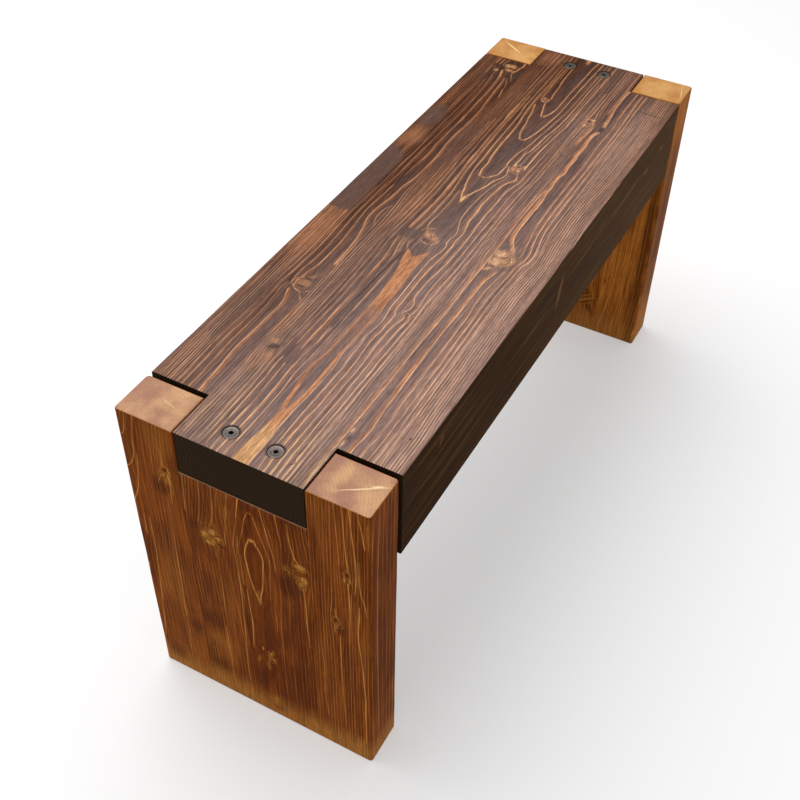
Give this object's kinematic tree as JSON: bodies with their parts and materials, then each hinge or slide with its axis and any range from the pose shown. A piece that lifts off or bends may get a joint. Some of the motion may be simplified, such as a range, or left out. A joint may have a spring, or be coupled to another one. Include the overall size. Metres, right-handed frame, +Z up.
{
  "type": "timber bench",
  "caption": "Low rectangular timber bench: a heavy solid seat with lapped, notched ends that sit between corner posts and bolt down onto wide board leg frames.",
  "frame": {"origin": "on the floor, below the middle of the seat", "axes": "+X along the bench to its far end (the picture's upper right), +Y across it to the left as seen from the near end, +Z up"},
  "size_m": [0.925, 0.3, 0.445],
  "materials": {
    "seat_timber": "dark stained and brushed softwood, satin",
    "leg_timber": "honey brown waxed softwood, satin",
    "bolt_steel": "gunmetal plated, satin",
    "insert_steel": "zinc plated",
    "dowel_beech": "bare beech"
  },
  "bodies": {
    "root": {"far_left_bolt": "bolt_steel", "far_left_dowel_high": "dowel_beech", "far_left_dowel_low": "dowel_beech", "far_left_dowel_middle": "dowel_beech", "far_left_insert": "insert_steel", "far_left_post": "leg_timber", "far_middle_board": "leg_timber", "far_right_bolt": "bolt_steel", "far_right_dowel_high": "dowel_beech", "far_right_dowel_low": "dowel_beech", "far_right_dowel_middle": "dowel_beech", "far_right_insert": "insert_steel", "far_right_post": "leg_timber", "near_left_bolt": "bolt_steel", "near_left_dowel_high": "dowel_beech", "near_left_dowel_low": "dowel_beech", "near_left_dowel_middle": "dowel_beech", "near_left_insert": "insert_steel", "near_left_post": "leg_timber", "near_middle_board": "leg_timber", "near_right_bolt": "bolt_steel", "near_right_dowel_high": "dowel_beech", "near_right_dowel_low": "dowel_beech", "near_right_dowel_middle": "dowel_beech", "near_right_insert": "insert_steel", "near_right_post": "leg_timber", "seat_beam": "seat_timber"}
  },
  "joints": []
}
